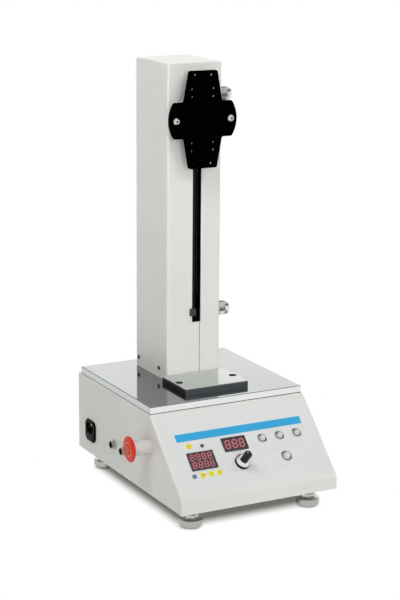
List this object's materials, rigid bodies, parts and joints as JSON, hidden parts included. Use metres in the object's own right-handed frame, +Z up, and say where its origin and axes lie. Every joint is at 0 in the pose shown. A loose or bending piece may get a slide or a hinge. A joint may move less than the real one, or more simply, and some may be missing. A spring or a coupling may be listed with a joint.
{
  "type": "motorised force test stand",
  "caption": "Bench-top single-column test stand with a screw-driven gauge carriage, polished table, sloped control panel, limit stops and an emergency stop",
  "frame": {"origin": "On the floor under the feet, at the middle of the whole footprint, which the emergency stop widens on the left; the cabinet's middle plane is at x = 0.0174 m", "axes": "+Z up, the control panel faces -Y, +X is the right-hand side seen from the front"},
  "size_m": [0.2724, 0.327, 0.591],
  "materials": {
    "cabinet_paint": "fine satin powder coat, warm pale grey",
    "column_paint": "fine satin powder coat, pale grey",
    "polished_steel": "mirror-ground stainless plate",
    "table_steel": "blackened edges with a polished upper face",
    "overlay": "printed label sheet with a blue band",
    "display_window": "dark red tinted window over segment digits",
    "circuit_board": "glass-fibre board",
    "lamp": "small indicator lamp",
    "key_yellow": "yellow key cap",
    "button_metal": "bright stainless push button",
    "dial_black": "black plastic dial grip and ring",
    "dial_bright": "bright plated skirt",
    "inlet_black": "black moulded inlet",
    "drawer_grey": "dark grey fuse drawer",
    "contact_brass": "plated contact pins",
    "socket_metal": "plated round socket",
    "stop_red": "glossy red mushroom head",
    "collar_grey": "pale grey collar",
    "plate_black": "matt black coated plate",
    "bright_screw": "bright steel",
    "knurled": "knurled bright knob",
    "machined_aluminium": "machined aluminium",
    "ground_steel": "hardened and ground",
    "nut_bronze": "bronze nut",
    "motor_black": "black motor can",
    "supply_case": "perforated sheet case",
    "belt_rubber": "toothed belt",
    "foot_metal": "turned grey foot",
    "stop_block": "dark stop block"
  },
  "bodies": {
    "frame": {"base_cabinet": "cabinet_paint", "base_bottom_plate": "cabinet_paint", "top_plate": "polished_steel", "table_plate": "table_steel", "control_overlay": "overlay", "counter_display": "display_window", "speed_display": "display_window", "display_boards": "circuit_board", "panel_lamps": "lamp", "button_housings": "button_metal", "dial_pot": "ground_steel", "dial_ring": "dial_black", "power_inlet": "inlet_black", "inlet_pins": "contact_brass", "signal_sockets": "socket_metal", "estop_collar": "collar_grey", "column_left_cover": "column_paint", "column_right_cover": "column_paint", "column_cap": "column_paint", "lower_bearing_block": "machined_aluminium", "upper_bearing_block": "machined_aluminium", "guide_rods": "ground_steel", "screw_bearings": "ground_steel", "drive_motor": "motor_black", "motor_bracket": "machined_aluminium", "drive_belt": "belt_rubber", "power_supply": "supply_case", "travel_stop": "stop_block"},
    "carriage": {"carriage_block": "machined_aluminium", "carriage_bushings": "ground_steel", "lead_nut": "nut_bronze", "gauge_arm": "plate_black", "cross_plate": "plate_black", "clamp_screws": "bright_screw"},
    "screw": {"lead_screw": "ground_steel", "screw_pulley": "machined_aluminium"},
    "rotor": {"motor_pulley": "machined_aluminium"},
    "upper_limit": {"upper_limit_slider": "bright_screw", "upper_limit_switch": "stop_block"},
    "upper_clamp": {"upper_limit_knob": "knurled"},
    "lower_limit": {"lower_limit_slider": "bright_screw", "lower_limit_switch": "stop_block"},
    "lower_clamp": {"lower_limit_knob": "knurled"},
    "stop_plunger": {"estop_stem": "ground_steel"},
    "stop_head": {"estop_head": "stop_red"},
    "drawer": {"fuse_drawer": "drawer_grey"},
    "dial": {"dial_skirt": "dial_bright", "dial_grip": "dial_black"},
    "up_button": {"up_button": "button_metal"},
    "stop_button": {"stop_button": "button_metal"},
    "down_button": {"down_button": "button_metal"},
    "power_button": {"power_button": "button_metal"},
    "reset_key": {"reset_key": "key_yellow"},
    "set_key": {"set_key": "key_yellow"},
    "up_key": {"up_key": "key_yellow"},
    "shift_key": {"shift_key": "key_yellow"},
    "foot_front_left": {"foot_front_left": "foot_metal"},
    "foot_front_right": {"foot_front_right": "foot_metal"},
    "foot_rear_left": {"foot_rear_left": "foot_metal"},
    "foot_rear_right": {"foot_rear_right": "foot_metal"}
  },
  "joints": [
    {"name": "screw_spin", "type": "hinge", "parent": "frame", "child": "screw", "pos_m": [0.0174, 0.0995, 0.3], "axis": [0, 0, 1], "range_deg": [-580, 16565]},
    {"name": "carriage_travel", "type": "slide", "parent": "frame", "child": "carriage", "axis": [0, 0, 1], "range_m": [-0.23, 0.008]},
    {"name": "rotor_spin", "type": "hinge", "parent": "frame", "child": "rotor", "pos_m": [0.0174, 0.015, 0.12], "axis": [0, 0, 1], "range_deg": [-580, 16565]},
    {"name": "upper_limit_slide", "type": "slide", "parent": "frame", "child": "upper_limit", "axis": [0, 0, 1], "range_m": [-0.13, 0.02]},
    {"name": "upper_clamp_turn", "type": "hinge", "parent": "upper_limit", "child": "upper_clamp", "pos_m": [0.0673, 0.05, 0.5445], "axis": [1, 0, 0], "range_deg": [-90, 90]},
    {"name": "lower_limit_slide", "type": "slide", "parent": "frame", "child": "lower_limit", "axis": [0, 0, 1], "range_m": [-0.045, 0.13]},
    {"name": "lower_clamp_turn", "type": "hinge", "parent": "lower_limit", "child": "lower_clamp", "pos_m": [0.0673, 0.05, 0.241], "axis": [1, 0, 0], "range_deg": [-90, 90]},
    {"name": "stop_press", "type": "slide", "parent": "frame", "child": "stop_plunger", "axis": [1, 0, 0], "range_m": [0, 0.003], "stiffness_N_per_m": 1500, "springref_m": -0.002},
    {"name": "stop_twist", "type": "hinge", "parent": "stop_plunger", "child": "stop_head", "pos_m": [-0.1301, -0.068, 0.0955], "axis": [-1, 0, 0], "range_deg": [0, 45], "stiffness_Nm_per_rad": 0.05, "springref_deg": -5.73},
    {"name": "drawer_slide", "type": "slide", "parent": "frame", "child": "drawer", "axis": [-1, 0, 0], "range_m": [0, 0.015]},
    {"name": "up_button_press", "type": "slide", "parent": "frame", "child": "up_button", "axis": [0, 0.6995, -0.7147], "range_m": [0, 0.0025], "stiffness_N_per_m": 900, "springref_m": -0.001},
    {"name": "stop_button_press", "type": "slide", "parent": "frame", "child": "stop_button", "axis": [0, 0.6995, -0.7147], "range_m": [0, 0.0025], "stiffness_N_per_m": 900, "springref_m": -0.001},
    {"name": "down_button_press", "type": "slide", "parent": "frame", "child": "down_button", "axis": [0, 0.6995, -0.7147], "range_m": [0, 0.0025], "stiffness_N_per_m": 900, "springref_m": -0.001},
    {"name": "power_button_press", "type": "slide", "parent": "frame", "child": "power_button", "axis": [0, 0.6995, -0.7147], "range_m": [0, 0.0025], "stiffness_N_per_m": 900, "springref_m": -0.001},
    {"name": "reset_key_press", "type": "slide", "parent": "frame", "child": "reset_key", "axis": [0, 0.6995, -0.7147], "range_m": [0, 0.0005], "stiffness_N_per_m": 3000, "springref_m": -0.0003},
    {"name": "set_key_press", "type": "slide", "parent": "frame", "child": "set_key", "axis": [0, 0.6995, -0.7147], "range_m": [0, 0.0005], "stiffness_N_per_m": 3000, "springref_m": -0.0003},
    {"name": "up_key_press", "type": "slide", "parent": "frame", "child": "up_key", "axis": [0, 0.6995, -0.7147], "range_m": [0, 0.0005], "stiffness_N_per_m": 3000, "springref_m": -0.0003},
    {"name": "shift_key_press", "type": "slide", "parent": "frame", "child": "shift_key", "axis": [0, 0.6995, -0.7147], "range_m": [0, 0.0005], "stiffness_N_per_m": 3000, "springref_m": -0.0003},
    {"name": "dial_turn", "type": "hinge", "parent": "frame", "child": "dial", "pos_m": [0.0049, -0.13311, 0.07625], "axis": [0, -0.6995, 0.7147], "range_deg": [-150, 150]},
    {"name": "foot_front_left_level", "type": "slide", "parent": "frame", "child": "foot_front_left", "axis": [0, 0, 1], "range_m": [-0.008, 0.008]},
    {"name": "foot_front_right_level", "type": "slide", "parent": "frame", "child": "foot_front_right", "axis": [0, 0, 1], "range_m": [-0.008, 0.008]},
    {"name": "foot_rear_left_level", "type": "slide", "parent": "frame", "child": "foot_rear_left", "axis": [0, 0, 1], "range_m": [-0.008, 0.008]},
    {"name": "foot_rear_right_level", "type": "slide", "parent": "frame", "child": "foot_rear_right", "axis": [0, 0, 1], "range_m": [-0.008, 0.008]}
  ],
  "couplings": [
    {"joint": "screw_spin", "follows": "carriage_travel", "rad_per_m": -1256.6},
    {"joint": "rotor_spin", "follows": "carriage_travel", "rad_per_m": -1256.6}
  ]
}
